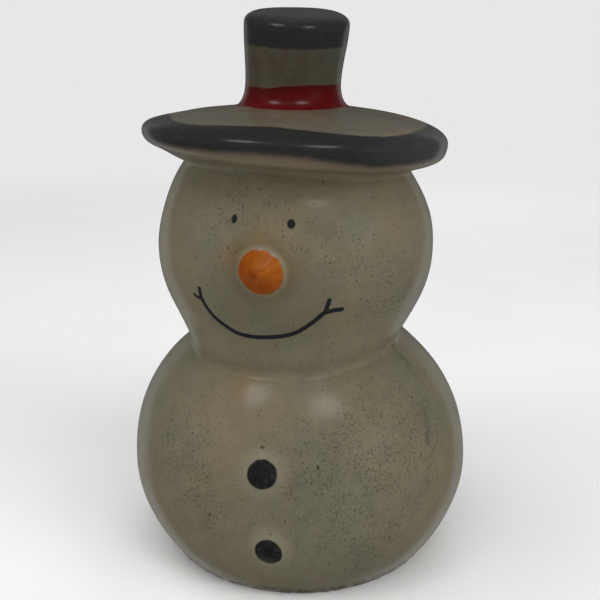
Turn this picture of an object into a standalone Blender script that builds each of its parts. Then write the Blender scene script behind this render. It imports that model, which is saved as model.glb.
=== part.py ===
"""Snowman figurine, carved in one piece from soapstone.

The stone is worked out as one turned outline (base, belly, neck, head, hat brim, hat crown), whose rings are then
moved and tipped a little, because a hand-carved figure is never quite straight. A blunt cone for the nose and two
low mounds for the buttons are joined to it, so that the whole figure is one closed solid.

Millimetres are used for the figures below, and MM turns them into metres. +Z is up, the face looks along -Y, and
the origin is the centre of the flat base.
"""
import math

import bpy
import numpy as np
from mathutils import Matrix, Vector

MM = 0.001

# Body: a flattened ball standing on a flat base. A leanness of 0 is a true ellipse, and more takes the roundness
# off its shoulders.
BASE_RADIUS = 31.45
BELLY_RADIUS = 39.2
BELLY_HEIGHT = 20.8
BODY_BELOW_BELLY = 36.25
BODY_ABOVE_BELLY = 35.8
LEANNESS_BELOW_BELLY = 0.016
LEANNESS_ABOVE_BELLY = -0.001
BODY_ARC_DEG = (-33.4, 51.0)
FOOT_HEADINGS_DEG = (25.0, 52.0)

# Head: nearly a sphere, sunk into the top of the body.
HEAD_RADIUS = 30.9
HEAD_HEIGHT = 69.9
HEAD_LEANNESS = 0.016
HEAD_ARC_DEG = (-37.0, 36.5)
NECK_HEIGHT = 49.7

# Hat: a thick brim, shaped like a lens, which slopes down to the head below and up to the crown above. Its outline
# is given as knots (radius, height above the middle of the rim, heading in degrees: 0 is outward and 90 is up).
RIM_HEIGHT = 94.0
HAT_KNOTS = (
    (24.95, -5.4, 20.0),  # crease on the head
    (31.9, -2.9, 25.0),  # underside of the brim, where the rim starts to round
    (33.2, 0.0, 90.0),  # rim
    (29.2, 3.1, 162.0),  # top of the brim, where the rounding ends
    (12.8, 6.0, 172.0),  # foot of the crown
    (10.5, 10.8, 90.0),  # waist of the crown
    (11.4, 23.1, 90.0),  # side of the crown, where its top edge starts to round
    (8.8, 25.1, 172.0),  # top of the crown
    (0.0, 25.3, 180.0),  # middle of the top
)

# How the carving strays from straight: at each height, the ring's shift towards +X and its tip down towards +X.
SWAY_HEIGHTS = (0.0, BELLY_HEIGHT, NECK_HEIGHT, HEAD_HEIGHT, 88.6, 90.2, RIM_HEIGHT, 100.0, 119.6)
SWAY_SHIFTS = (-0.05, 0.1, -0.8, -0.97, -0.2, -1.0, -1.05, -1.7, -0.6)
SWAY_TIPS_DEG = (0.0, 0.0, -0.9, -0.3, 4.0, 4.0, 2.7, 1.0, 4.5)

# The crown's rings also nod: at each height, their tip down towards -Y.
NOD_HEIGHTS = (0.0, 98.0, 104.5, 111.0, 119.6)
NODS_DEG = (0.0, 0.0, 4.5, 9.5, 10.0)

# Nose: a blunt cone. Its place is a turn around the figure from straight ahead towards +X, and a height.
NOSE_TURN_DEG = 1.4
NOSE_HEIGHT = 70.6
NOSE_RADIUS = 4.6
NOSE_LENGTH = 3.3
NOSE_BLUNTNESS = 1.3

# Buttons: (turn, height, tilt of the mound's axis above level) for the upper and the lower one.
BUTTONS = ((2.7, 31.6, 18.7), (3.9, 15.8, -9.0))
MOUND_RADIUS = 5.8
MOUND_RISE = 1.4
MOUND_CUT = 0.94

# Bumps reach this far into the stone, so that they join it through and through.
SUNK = 2.5

TURN_STEPS = 60
BUMP_STEPS = 24

STONE_COLOUR = (0.15, 0.132, 0.09, 1.0)
STONE_ROUGHNESS = 0.35


def clear_scene():
    for scene_object in list(bpy.data.objects):
        bpy.data.objects.remove(scene_object, do_unlink=True)


def new_collection(name):
    collection = bpy.data.collections.new(name)
    bpy.context.scene.collection.children.link(collection)
    return collection


def oval_arc(radius, half_height, centre_height, leanness, low_deg, high_deg, count):
    """Arc of an ellipse, drawn in towards its centre by leanness times the squared sine of twice the angle."""
    angles = np.radians(np.linspace(low_deg, high_deg, count))
    drawn_in = 1.0 - leanness * np.sin(2.0 * angles) ** 2
    across = radius * np.cos(angles) * drawn_in
    up = centre_height + half_height * np.sin(angles) * drawn_in
    return [Vector((x, z)) for x, z in zip(across, up)]


def flowing_line(knots, count):
    """Smooth line through knots (radius, height, heading in degrees): a cubic between each two knots."""
    points = []
    for (r0, z0, heading0), (r1, z1, heading1) in zip(knots, knots[1:]):
        start = Vector((r0, z0))
        end = Vector((r1, z1))
        reach = (end - start).length
        leave = reach * Vector((math.cos(math.radians(heading0)), math.sin(math.radians(heading0))))
        arrive = reach * Vector((math.cos(math.radians(heading1)), math.sin(math.radians(heading1))))
        for s in np.linspace(0.0, 1.0, count, endpoint=False):
            blend = 3.0 * s**2 - 2.0 * s**3
            point = start * (1.0 - blend) + end * blend
            point += leave * (s**3 - 2.0 * s**2 + s) + arrive * (s**3 - s**2)
            points.append(point)
    points.append(Vector(knots[-1][:2]))
    return points


def rounded_crease(before, after, count):
    """Points from the end of one line to the start of the next: a quadratic pulled to where the two would meet."""
    start, end = before[-1], after[0]
    leave = start - before[-2]
    arrive = after[1] - end
    gap = end - start
    along = (gap.x * arrive.y - gap.y * arrive.x) / (leave.x * arrive.y - leave.y * arrive.x)
    corner = start + leave * along
    steps = np.linspace(0.0, 1.0, count + 2)[1:-1]
    return [start * (1 - s) ** 2 + corner * 2 * s * (1 - s) + end * s**2 for s in steps]


def body_line():
    """The body's side, from just above the foot to just below the neck."""
    low, high = BODY_ARC_DEG
    lower = oval_arc(BELLY_RADIUS, BODY_BELOW_BELLY, BELLY_HEIGHT, LEANNESS_BELOW_BELLY, low, 0.0, 8)
    upper = oval_arc(BELLY_RADIUS, BODY_ABOVE_BELLY, BELLY_HEIGHT, LEANNESS_ABOVE_BELLY, 0.0, high, 9)
    return lower + upper[1:]


def hat_line():
    """Outline of the hat from the crease on the head, under and over the brim, and up the crown to its middle."""
    return [Vector((point.x, point.y + RIM_HEIGHT)) for point in flowing_line(HAT_KNOTS, 4)]


def figure_outline():
    """The figure's right-hand outline as (radius, height) points, from the middle of the base to the hat's top."""
    body = body_line()
    head = oval_arc(HEAD_RADIUS, HEAD_RADIUS, HEAD_HEIGHT, HEAD_LEANNESS, *HEAD_ARC_DEG, 17)
    leave_deg, arrive_deg = FOOT_HEADINGS_DEG
    foot = flowing_line([(BASE_RADIUS, 0.0, leave_deg), (body[0].x, body[0].y, arrive_deg)], 3)[:-1]
    return [Vector((0.0, 0.0))] + foot + body + rounded_crease(body, head, 3) + head + hat_line()


def turned_object(name, outline, steps):
    """Solid turned from an outline given from bottom to top: the Screw modifier wants it from top to bottom."""
    mesh = bpy.data.meshes.new(name)
    vertices = [(point.x * MM, 0.0, point.y * MM) for point in reversed(outline)]
    edges = [(index, index + 1) for index in range(len(vertices) - 1)]
    mesh.from_pydata(vertices, edges, [])
    turned = bpy.data.objects.new(name, mesh)
    screw = turned.modifiers.new("Turn", "SCREW")
    screw.axis = "Z"
    screw.steps = steps
    screw.render_steps = steps
    screw.use_merge_vertices = True
    screw.merge_threshold = 1e-6
    screw.use_smooth_shade = True
    return turned


def eased(heights, level_heights, values):
    """Values between levels, easing in and out of each level so that the surface stays smooth."""
    place = np.interp(heights, level_heights, np.arange(len(level_heights)))
    step = np.floor(place)
    part = place - step
    return np.interp(step + part * part * (3.0 - 2.0 * part), np.arange(len(values)), values)


def sway(points):
    """Shift, tip and nod each ring of the turned figure, by the amounts that belong to its height."""
    heights = points[:, 2] / MM
    shifts = eased(heights, SWAY_HEIGHTS, SWAY_SHIFTS) * MM
    tips = np.radians(eased(heights, SWAY_HEIGHTS, SWAY_TIPS_DEG))
    nods = np.radians(eased(heights, NOD_HEIGHTS, NODS_DEG))
    moved = points.copy()
    moved[:, 0] = points[:, 0] * np.cos(tips) + shifts
    moved[:, 1] = points[:, 1] * np.cos(nods)
    moved[:, 2] = points[:, 2] - points[:, 0] * np.sin(tips) + points[:, 1] * np.sin(nods)
    return moved


def carved_mesh():
    """The turned figure as a plain mesh, with the sway of the hand carving in it."""
    turned = turned_object("turned_figure", figure_outline(), TURN_STEPS)
    bpy.context.scene.collection.objects.link(turned)
    graph = bpy.context.evaluated_depsgraph_get()
    mesh = bpy.data.meshes.new_from_object(turned.evaluated_get(graph))
    mesh.name = "snowman"
    bpy.data.objects.remove(turned, do_unlink=True)
    points = np.empty(len(mesh.vertices) * 3)
    mesh.vertices.foreach_get("co", points)
    mesh.vertices.foreach_set("co", sway(points.reshape(-1, 3)).ravel())
    mesh.update()
    return mesh


def outward_frame(turn_deg, tilt_deg, height, radius):
    """Frame on the figure's surface, with its Z axis pointing outward at the turn and tilt given."""
    turn = math.radians(turn_deg)
    tilt = math.radians(tilt_deg)
    shift = float(eased(np.array([height]), SWAY_HEIGHTS, SWAY_SHIFTS)[0])
    ahead = Vector((math.sin(turn), -math.cos(turn), 0.0))
    outward = ahead * math.cos(tilt) + Vector((0.0, 0.0, math.sin(tilt)))
    place = ahead * radius + Vector((shift, 0.0, height))
    return Matrix.Translation(place * MM) @ outward.to_track_quat("Z", "Y").to_matrix().to_4x4()


def surface_radius(height):
    """Radius of the turned figure at a height below the brim."""
    outline = figure_outline()
    heights = [point.y for point in outline]
    return float(np.interp(height, heights, [point.x for point in outline]))


def bump_outline(radii, rises, ball_radius):
    """Outline of a bump on a ball: its rises are measured from the ball's surface, which falls away from it."""
    sunk = [Vector((0.0, -SUNK)), Vector((radii[0], -SUNK))]
    return sunk + [Vector((r, rise - r * r / (2.0 * ball_radius))) for r, rise in zip(radii, rises)]


def nose_outline():
    """A hyperbola: a blunt tip between straight flanks, with a rise of nothing at the nose's radius."""
    radii = np.linspace(NOSE_RADIUS, 0.0, 9)
    flank = math.sqrt((NOSE_LENGTH + NOSE_BLUNTNESS) ** 2 - NOSE_BLUNTNESS**2) / NOSE_RADIUS
    rises = NOSE_LENGTH + NOSE_BLUNTNESS - np.sqrt(NOSE_BLUNTNESS**2 + (flank * radii) ** 2)
    return bump_outline(radii, rises, HEAD_RADIUS)


def mound_outline():
    """One swing of a cosine, level at the middle, and cut off just before it is level again at the rim."""
    radii = np.linspace(MOUND_CUT * MOUND_RADIUS, 0.0, 8)
    swing = 0.5 * (1.0 + np.cos(np.pi * radii / MOUND_RADIUS))
    return bump_outline(radii, MOUND_RISE * swing, BELLY_RADIUS)


def stone_material():
    material = bpy.data.materials.new("soapstone")
    material.use_nodes = True
    shader = material.node_tree.nodes["Principled BSDF"]
    shader.inputs["Base Color"].default_value = STONE_COLOUR
    shader.inputs["Roughness"].default_value = STONE_ROUGHNESS
    shader.inputs["Metallic"].default_value = 0.0
    material.diffuse_color = STONE_COLOUR
    return material


def add_bump(figure, helpers, name, outline, frame):
    """Join a turned bump to the figure."""
    bump = turned_object(name, outline, BUMP_STEPS)
    bump.matrix_world = frame
    bump.hide_render = True
    bump.display_type = "WIRE"
    helpers.objects.link(bump)
    union = figure.modifiers.new(name, "BOOLEAN")
    union.operation = "UNION"
    union.solver = "EXACT"
    union.object = bump


def build():
    clear_scene()
    parts = new_collection("snowman_figurine")
    helpers = new_collection("helpers")
    figure = bpy.data.objects.new("snowman", carved_mesh())
    figure.data.materials.clear()
    figure.data.materials.append(stone_material())
    parts.objects.link(figure)

    nose_frame = outward_frame(NOSE_TURN_DEG, 0.0, NOSE_HEIGHT, surface_radius(NOSE_HEIGHT))
    add_bump(figure, helpers, "nose", nose_outline(), nose_frame)
    for name, (turn, height, tilt) in zip(("upper_button", "lower_button"), BUTTONS):
        frame = outward_frame(turn, tilt, height, surface_radius(height))
        add_bump(figure, helpers, name, mound_outline(), frame)


build()
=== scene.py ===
# %% [markdown]
# # A snowman carved from soapstone
#
# The real figure is one piece of soft, greige stone: a ball for the body, a ball for the head and a wide-brimmed
# hat, cut by hand, rubbed smooth and waxed. Only the nose and the two mounds under the buttons stand out from the
# stone. Everything else on it is thin paint or a pen line.
#
# This lesson builds it as a single surface, works out on the same grid where each paint begins and ends, and then
# writes one material that lays stone, stains, paint, ink and wax over each other.

import math

import bpy
import numpy as np
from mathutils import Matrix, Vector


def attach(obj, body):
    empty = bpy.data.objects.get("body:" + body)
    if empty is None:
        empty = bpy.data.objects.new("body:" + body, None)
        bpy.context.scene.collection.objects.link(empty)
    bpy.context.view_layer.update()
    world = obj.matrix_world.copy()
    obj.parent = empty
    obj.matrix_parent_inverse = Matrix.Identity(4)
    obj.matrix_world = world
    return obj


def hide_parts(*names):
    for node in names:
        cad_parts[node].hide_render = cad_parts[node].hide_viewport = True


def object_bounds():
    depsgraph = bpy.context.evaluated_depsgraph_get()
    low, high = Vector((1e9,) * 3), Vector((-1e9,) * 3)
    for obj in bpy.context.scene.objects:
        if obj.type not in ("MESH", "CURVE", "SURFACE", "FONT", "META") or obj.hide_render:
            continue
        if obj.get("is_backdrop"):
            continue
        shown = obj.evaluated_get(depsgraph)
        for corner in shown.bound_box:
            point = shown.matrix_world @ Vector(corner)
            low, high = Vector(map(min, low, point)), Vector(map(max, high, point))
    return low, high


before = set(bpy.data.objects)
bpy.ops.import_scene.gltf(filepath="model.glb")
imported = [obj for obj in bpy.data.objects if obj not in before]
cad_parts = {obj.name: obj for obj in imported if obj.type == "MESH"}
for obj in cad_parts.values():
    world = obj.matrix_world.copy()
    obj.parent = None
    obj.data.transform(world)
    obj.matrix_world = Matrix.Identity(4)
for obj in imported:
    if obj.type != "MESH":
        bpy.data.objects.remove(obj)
solid_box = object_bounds()
MM = 0.001
print("solid box in mm:", np.round(np.array(solid_box) / MM, 1).tolist())

# %% [markdown]
# ## The outline
#
# The figure is nearly round, so its shape is an outline carried round an axis, as on a lathe. The body and head are
# slightly drawn-in ovals. The hat goes through a few knots, each with a radius, a height and a heading.

# %% Arcs and flowing lines


def oval_arc(radius, half_height, centre_height, leanness, low_deg, high_deg, count=200):
    """(R cos a, z0 + H sin a) for a from low to high, both drawn in by the factor 1 - leanness * sin(2 a)^2."""
    angle = np.radians(np.linspace(low_deg, high_deg, count))
    drawn_in = 1.0 - leanness * np.sin(2.0 * angle) ** 2
    oval = np.column_stack((radius * np.cos(angle), half_height * np.sin(angle)))
    return oval * drawn_in[:, None] + (0, centre_height)


def flowing_line(knots, count=60):
    """From knot p to knot q, with unit headings u, v: the Hermite cubic with tangents |q - p| u and |q - p| v."""
    knots = np.array(knots)
    places = knots[:, :2]
    heading = np.radians(knots[:, 2])
    reach = np.linalg.norm(np.diff(places, axis=0), axis=1)[:, None, None]
    unit = np.column_stack((np.cos(heading), np.sin(heading)))
    s = np.linspace(0.0, 1.0, count, endpoint=False)[None, :, None]
    start, end = places[:-1, None, :], places[1:, None, :]
    leave, arrive = reach * unit[:-1, None, :], reach * unit[1:, None, :]
    line = start * (2 * s**3 - 3 * s**2 + 1) + end * (3 * s**2 - 2 * s**3)
    line = line + leave * (s**3 - 2 * s**2 + s) + arrive * (s**3 - s**2)
    return np.vstack((line.reshape(-1, 2), places[-1:]))


def rounded_crease(before, after, count=40):
    """The parabola from the end of one line to the start of the next, pulled towards where both would meet."""
    start, end = before[-1], after[0]
    leave, arrive, gap = start - before[-2], after[1] - end, end - start
    along = (gap[0] * arrive[1] - gap[1] * arrive[0]) / (leave[0] * arrive[1] - leave[1] * arrive[0])
    s = np.linspace(0.0, 1.0, count + 2)[1:-1, None]
    return start * (1 - s) ** 2 + (start + leave * along) * 2 * s * (1 - s) + end * s**2


# %% Body, head and hat, in millimetres
BASE_RADIUS = 31.45
BELLY_RADIUS = 39.2
BELLY_HEIGHT = 20.8
BELLY_BELOW = 36.25
BELLY_ABOVE = 35.8
HEAD_RADIUS = 30.9
HEAD_HEIGHT = 69.9
LEANNESS = 0.016
NECK_HEIGHT = 49.7
RIM_HEIGHT = 94.0
HAT_KNOTS = (
    # (radius, height above the rim, heading in degrees)
    (24.95, -5.4, 20),  # crease on the head
    (31.9, -2.9, 25),  # underside of the brim
    (33.2, 0, 90),  # rim
    (29.2, 3.1, 162),  # top of the brim
    (12.8, 6, 172),  # foot of the crown
    (10.5, 10.8, 90),  # waist of the crown
    (11.4, 23.1, 90),  # side of the crown
    (8.8, 25.1, 172),  # top of the crown
    (0, 25.3, 180),  # middle of the top
)

lower_body = oval_arc(BELLY_RADIUS, BELLY_BELOW, BELLY_HEIGHT, LEANNESS, low_deg=-33.4, high_deg=0.0)
upper_body = oval_arc(BELLY_RADIUS, BELLY_ABOVE, BELLY_HEIGHT, leanness=-0.001, low_deg=0.0, high_deg=51.0)
body = np.vstack((lower_body, upper_body[1:]))
head = oval_arc(HEAD_RADIUS, HEAD_RADIUS, HEAD_HEIGHT, LEANNESS, low_deg=-37.0, high_deg=36.5, count=400)
foot = flowing_line([(BASE_RADIUS, 0.0, 25.0), (*body[0], 52.0)])  # each (radius, height, heading in degrees)
base = np.column_stack((np.linspace(0.0, BASE_RADIUS, 200), np.zeros(200)))
hat = flowing_line(HAT_KNOTS) + (0.0, RIM_HEIGHT)
rough_outline = np.vstack((base[:-1], foot[:-1], body, rounded_crease(body, head), head, hat))
print("outline up to", round(float(rough_outline[:, 1].max()), 1), "mm")

# %% [markdown]
# No edge on rubbed stone is perfectly sharp. A short moving average along the outline rounds every crease and edge
# by about half a millimetre, so no fillet is placed by hand.

# %% Round the outline
STEP = 0.05
SOFTNESS = 0.45


def softened(outline, step, softness):
    """Resample the line every step, then replace each point by its Gaussian average over the arc length round it."""
    gaps = np.linalg.norm(np.diff(outline, axis=0), axis=1)
    keep = np.append(True, gaps > 1e-9)
    outline = outline[keep]
    length = np.append(0.0, np.cumsum(gaps[keep[1:]]))
    even = np.arange(0.0, length[-1], step)
    line = np.column_stack([np.interp(even, length, outline[:, axis]) for axis in (0, 1)])
    reach = int(4 * softness / step)
    before = line[reach:0:-1] * (-1, 1)
    after = line[-2 : -reach - 2 : -1] * (-1, 1)
    padded = np.vstack((before, line, after))
    bell = np.exp(-0.5 * (np.arange(-reach, reach + 1) * step / softness) ** 2)
    smooth = np.column_stack([np.convolve(padded[:, axis], bell / bell.sum(), "valid") for axis in (0, 1)])
    return even, smooth


length_at, outline = softened(rough_outline, STEP, SOFTNESS)
outline[0, 0] = outline[-1, 0] = 0.0
outline[:, 1] -= outline[0, 1]
print("outline length:", round(float(length_at[-1]), 1), "mm")

# %% [markdown]
# ## The grid
#
# The surface is a function of the turn round the axis and the length along the outline. Rows lie close together at
# the nose, the buttons, the creases and the rim, and columns lie closer at the front. The seam is at the back.

# %% Rows and columns
ROW_SPACING = (
    # (height, spacing in mm at that height)
    (0, 0.5), (1.5, 0.5), (4, 1.4), (8, 1.4), (10, 0.6), (21, 0.6), (25, 0.65), (37, 0.6), (39, 1.5),
    (47, 1.5), (48, 0.55), (52, 0.55), (54, 0.75), (64, 0.7), (65.5, 0.4), (75.5, 0.4), (77, 0.75),
    (82, 0.75), (84, 1.4), (87, 1.2), (88, 0.3), (89.3, 0.3), (90, 0.7), (91, 0.5), (96.8, 0.5),
    (97.4, 1.2), (99.4, 1.2), (100, 0.5), (103, 0.6), (105, 1.4), (115, 1.4), (116.6, 0.45), (119, 0.45),
    (119.15, 1.6),
)
BASE_SPACING = 4.0
BASE_PART = 0.93
BASE_UP_TO = 1.0
COLUMNS = 400
FRONT_EXTRA = 2.2
FRONT_WIDTH = 0.5


def spread(positions, density, count):
    """count places from the first to the last position, as close together as the density asks."""
    share = np.append(0.0, np.cumsum(0.5 * (density[1:] + density[:-1]) * np.diff(positions)))
    return np.interp(np.linspace(0.0, share[-1], count), share, positions)


spacing = np.interp(outline[:, 1], *np.array(ROW_SPACING).T)
under_base = (outline[:, 0] < BASE_PART * BASE_RADIUS) & (outline[:, 1] < BASE_UP_TO)
spacing = np.where(under_base, BASE_SPACING, spacing)
rows_wanted = int(np.sum(np.diff(length_at) / spacing[1:]))
row_length = spread(length_at, 1.0 / spacing, rows_wanted)[1:-1]
fine_turn = np.linspace(-math.pi, math.pi, 4001)
turn = spread(fine_turn, 1.0 + FRONT_EXTRA * np.exp(-((fine_turn / FRONT_WIDTH) ** 2)), COLUMNS + 1)[:-1]
print(len(row_length), "rows x", COLUMNS, "columns =", 2 * COLUMNS * len(row_length), "triangles")

# %% [markdown]
# A hand-carved figure is never quite straight: the head leans, and the hat sits at a tilt. So each ring is shifted
# and tipped by an amount that eases from one height to the next.

# %% Turn the outline and let it lean
SWAY_HEIGHTS = (0.0, BELLY_HEIGHT, NECK_HEIGHT, HEAD_HEIGHT, 88.6, 90.2, RIM_HEIGHT, 100.0, 119.6)
SWAY_SHIFTS = (-0.05, 0.1, -0.8, -0.97, -0.2, -1, -1.05, -1.7, -0.6)
SWAY_TIPS_DEG = (0, 0, -0.9, -0.3, 4, 4, 2.7, 1, 4.5)
NOD_HEIGHTS = (0, 98, 104.5, 111, 119.6)
NODS_DEG = (0, 0, 4.5, 9.5, 10)


def eased(heights, levels, values):
    """Between two levels the value goes from one to the next by 3 t^2 - 2 t^3, where t is the part of the way up."""
    place = np.interp(heights, levels, np.arange(len(levels)))
    part = place - np.floor(place)
    return np.interp(np.floor(place) + part * part * (3.0 - 2.0 * part), np.arange(len(values)), values)


def turned(length, turn):
    """Point (r sin t, -r cos t, z) of the outline at the turn t, tipped sideways, nodded forward and shifted."""
    radius = np.interp(length, length_at, outline[:, 0])[:, None]
    height = np.interp(length, length_at, outline[:, 1])[:, None]
    tip = np.radians(eased(height, SWAY_HEIGHTS, SWAY_TIPS_DEG))
    nod = np.radians(eased(height, NOD_HEIGHTS, NODS_DEG))
    across, ahead = radius * np.sin(turn), radius * np.cos(turn)
    x = across * np.cos(tip) + eased(height, SWAY_HEIGHTS, SWAY_SHIFTS)
    return np.stack((x, -ahead * np.cos(nod), height - across * np.sin(tip) - ahead * np.sin(nod)), axis=-1)


def grid_normals(grid):
    """Unit cross product of the step along the turn and the step along the outline."""
    along_turn = np.roll(grid, -1, axis=1) - np.roll(grid, 1, axis=1)
    along_length = np.gradient(grid, axis=0)
    normal = np.cross(along_turn, along_length)
    return normal / np.linalg.norm(normal, axis=-1, keepdims=True)


grid = turned(row_length, turn)
print("grid spans", np.round(np.ptp(grid.reshape(-1, 3), axis=0), 1), "mm")

# %% [markdown]
# ## What stands out of the stone
#
# The nose is a blunt cone, and each button sits on a low swelling. Both are heights above the ball, given as a
# function of the distance from an axis, so every grid point near that axis is moved along it. The nose meets the
# face in a tight but soft crease, for which the hyperbola is passed through a softened maximum with zero.

# %% Raise the nose and the mounds
NOSE_TURN_DEG = 1.4
NOSE_HEIGHT = 70.6
NOSE_RADIUS = 4.6
NOSE_LENGTH = 3.3
NOSE_BLUNTNESS = 1.3
NOSE_CREASE = 0.22
BUTTONS = ((2.7, 31.6, 18.7), (3.9, 15.8, -9.0))  # each (turn in degrees, height, tilt in degrees)
MOUND_RADIUS = 5.8
MOUND_RISE = 1.4


def axis_at(turn_deg, height, tilt_deg):
    """A point on the side of the figure, and the outward direction there at a tilt above level."""
    turn, tilt = math.radians(turn_deg), math.radians(tilt_deg)
    side = outline[: np.searchsorted(outline[:, 1], RIM_HEIGHT)]
    radius = np.interp(height, side[:, 1], side[:, 0])
    ahead = np.array((math.sin(turn), -math.cos(turn), 0.0))
    shift = eased(np.array(height), SWAY_HEIGHTS, SWAY_SHIFTS)
    return ahead * radius + (shift, 0.0, height), ahead * math.cos(tilt) + (0.0, 0.0, math.sin(tilt))


def from_axis(points, place, outward):
    """Distance from the axis through place, and how far ahead of place the point lies."""
    offset = points - place
    ahead = offset @ outward
    return np.linalg.norm(offset - ahead[..., None] * outward, axis=-1), ahead


def nose_rise(distance):
    """L + b - sqrt(b^2 + (k d)^2), a hyperbola that is 0 at the nose's radius, through c log(1 + exp(h / c))."""
    slope = math.sqrt((NOSE_LENGTH + NOSE_BLUNTNESS) ** 2 - NOSE_BLUNTNESS**2) / NOSE_RADIUS
    rise = NOSE_LENGTH + NOSE_BLUNTNESS - np.sqrt(NOSE_BLUNTNESS**2 + (slope * distance) ** 2)
    return NOSE_CREASE * np.logaddexp(0.0, rise / NOSE_CREASE)


def mound_rise(distance):
    """One swing of a cosine: H (1 + cos(pi d / R)) / 2 out to R."""
    return MOUND_RISE * 0.5 * (1.0 + np.cos(np.pi * np.clip(distance / MOUND_RADIUS, 0.0, 1.0)))


nose_axis = axis_at(NOSE_TURN_DEG, NOSE_HEIGHT, 0.0)
button_axes = [axis_at(*button) for button in BUTTONS]
plain_grid = grid.copy()
for (place, outward), rise in ((nose_axis, nose_rise), (button_axes[0], mound_rise), (button_axes[1], mound_rise)):
    distance, ahead = from_axis(plain_grid, place, outward)
    height = np.where(ahead > -NOSE_RADIUS, rise(distance), 0.0)
    grid += height[..., None] * outward
    print("raised by up to", round(float(height.max()), 2), "mm")

# %% [markdown]
# Neither crease is an even ring. The chin sits lower on the body in front than at the sides, and the seat of the hat
# wanders up and down. So each crease is pushed along the surface below it, by an amount that depends on the turn,
# times a bell in the outline length.

# %% Let the creases wander
PUSH_BLUR = 12
CREASES = (
    # (name, length at it, reach of the push, slope dr/dz of the surface below, ((turn, push up in mm), ...))
    ("chin", 89.0, 5.0, -1.25,
     ((-90, 0), (-66, -0.2), (-53, -0.8), (-40, -1.8), (-26, -2.1), (20, -2.1), (32, -1.7), (41, -1.4), (61, -0.8),
      (85, -0.3), (110, 0))),
    ("hat seat", 130.4, 3.6, -0.76,
     ((-110, 0), (-80, -0.5), (-57, -1.1), (-25, 0.15), (0, 0.7), (24, 0.3), (49, 0.2), (75, 0), (110, 0))),
)
bell = np.hanning(2 * PUSH_BLUR + 3)[1:-1]
for name, crease_length, reach, slope, pushes in CREASES:
    amount = np.interp(np.degrees(turn), *np.array(pushes).T)
    amount = np.convolve(np.pad(amount, PUSH_BLUR, "edge"), bell / (PUSH_BLUR + 1.0), "valid")
    push = amount * np.exp(-(((row_length - crease_length) / reach) ** 2))[:, None]
    outward = np.stack((np.sin(turn), -np.cos(turn)), axis=-1)
    grid[..., :2] += slope * push[..., None] * outward
    grid[..., 2] += push
    print(name, "pushed by", np.round((push.min(), push.max()), 2), "mm")

# %% [markdown]
# ## The hand of the carver
#
# Filing and rubbing leave broad, very shallow hollows, which show only where a highlight wanders. They are a sum of
# sine waves in space, drawn from a seeded generator. The foot is left rough from the saw, so near the floor the
# unevenness is finer. All of it is taken off the stone, never added.

# %% Hollows and the rough foot
rng = np.random.default_rng(11)


def waves(points, shortest, longest, count):
    """The sum of w sin(k . p + a) over waves with random directions, wavelengths w and phases, divided by the root
    of sum(w^2) / 2, which gives it a spread of one."""
    direction = rng.normal(size=(3, count))
    direction /= np.linalg.norm(direction, axis=0)
    wavelength = rng.uniform(shortest, longest, count)
    phase = rng.uniform(0.0, 2.0 * np.pi, count)
    swing = np.sin(points @ (direction * 2.0 * np.pi / wavelength) + phase) @ wavelength
    return swing / (wavelength @ wavelength / 2.0) ** 0.5


HOLLOW_DEPTH = 0.075
HOLLOWS_ABOVE = 2.5
SAW_DEPTH = 0.09
SAWN_ABOVE = 0.4
SAWN_BELOW = 2.0
height = grid[..., 2]
hollows = HOLLOW_DEPTH * np.clip(2.0 - waves(grid, shortest=9.0, longest=26.0, count=28), 0.0, 4.0)
hollows = hollows * np.clip(height / HOLLOWS_ABOVE, 0.0, 1.0)
sawn = SAW_DEPTH * np.clip(1.2 - waves(grid, shortest=0.9, longest=3.0, count=40), 0.0, 3.0)
sawn = sawn * np.clip(height / SAWN_ABOVE, 0.0, 1.0) * np.clip(1.0 - height / SAWN_BELOW, 0.0, 1.0)
normals = grid_normals(grid)
grid -= normals * (hollows + sawn)[..., None]
grid[..., 2] = np.maximum(grid[..., 2], 0.0)
print("hollows and saw marks up to", np.round((hollows.max(), sawn.max()), 2), "mm deep")

# %% [markdown]
# ## From arrays to a mesh
#
# The grid becomes quads, the last column is joined to the first, and a fan of triangles closes each pole, so the
# surface is watertight.

# %% Make the mesh


def new_object(name, data):
    """An object that shows the data, linked into the scene."""
    made = bpy.data.objects.new(name, data)
    bpy.context.scene.collection.objects.link(made)
    return made


def closed_mesh(name, grid, bottom, top):
    """Quads between rows r, r + 1 and columns c, c + 1 (the last column joins the first), and a fan at each end."""
    rows, columns = grid.shape[:2]
    index = np.arange(rows * columns).reshape(rows, columns)
    beside = np.roll(index, -1, axis=1)
    quads = np.stack((index[:-1], beside[:-1], beside[1:], index[1:]), axis=-1).reshape(-1, 4)
    low, high = rows * columns, rows * columns + 1
    fan_low = np.column_stack((beside[0], index[0], np.full(columns, low)))
    fan_high = np.column_stack((index[-1], beside[-1], np.full(columns, high)))
    corners = np.concatenate((quads.ravel(), fan_low.ravel(), fan_high.ravel()))
    sides = np.concatenate((np.full(len(quads), 4), np.full(2 * columns, 3)))
    points = np.vstack((grid.reshape(-1, 3), bottom, top)) * MM
    mesh = bpy.data.meshes.new(name)
    mesh.vertices.add(len(points))
    mesh.vertices.foreach_set("co", points.ravel())
    mesh.loops.add(len(corners))
    mesh.loops.foreach_set("vertex_index", corners)
    mesh.polygons.add(len(sides))
    mesh.polygons.foreach_set("loop_start", np.cumsum(sides) - sides)
    mesh.polygons.foreach_set("loop_total", sides)
    mesh.polygons.foreach_set("use_smooth", np.ones(len(sides), dtype=bool))
    mesh.update(calc_edges=True)
    mesh.validate()
    return mesh


pole_points = [grid[row].mean(axis=0) for row in (0, -1)]
mesh = closed_mesh("carved_snowman", grid, *pole_points)
snowman = new_object("carved_snowman", mesh)
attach(snowman, "root")
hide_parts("snowman")
print(len(mesh.vertices), "vertices,", len(mesh.polygons), "faces")

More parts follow.
